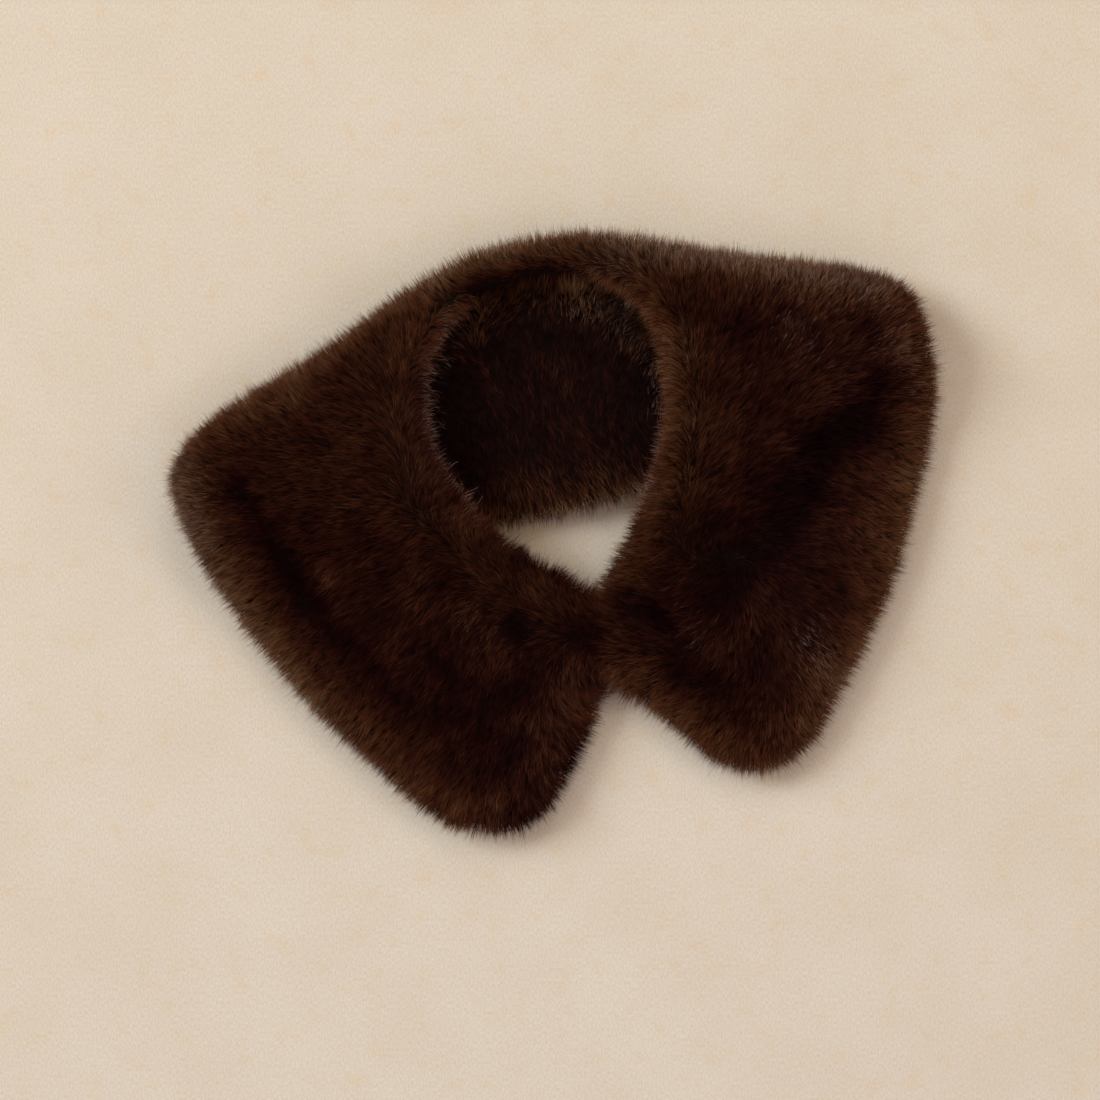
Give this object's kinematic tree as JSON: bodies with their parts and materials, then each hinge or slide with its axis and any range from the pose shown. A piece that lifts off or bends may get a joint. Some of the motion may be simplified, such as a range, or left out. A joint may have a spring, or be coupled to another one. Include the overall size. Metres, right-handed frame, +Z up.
{
  "type": "fur collar wrap",
  "caption": "Detachable shoulder collar of dark brown long-pile faux fur, fur on both faces, closed edge to edge at the front and lying flat on its back.",
  "frame": {"origin": "centre of the bounding box in plan, on the surface that the collar lies on", "axes": "+X from the collar's left side to its right as seen from above, +Y from the front tips to the back of the neck, +Z up from the surface"},
  "size_m": [0.458, 0.3614, 0.0434],
  "materials": {
    "outer_fur": "long soft pile, satin sheen",
    "inner_fur": "long soft pile, satin sheen"
  },
  "bodies": {
    "root": {"front_left_outer": "outer_fur", "front_left_inner": "inner_fur", "front_right_outer": "outer_fur", "front_right_inner": "inner_fur", "back_outer": "outer_fur", "back_inner": "inner_fur"}
  },
  "joints": []
}
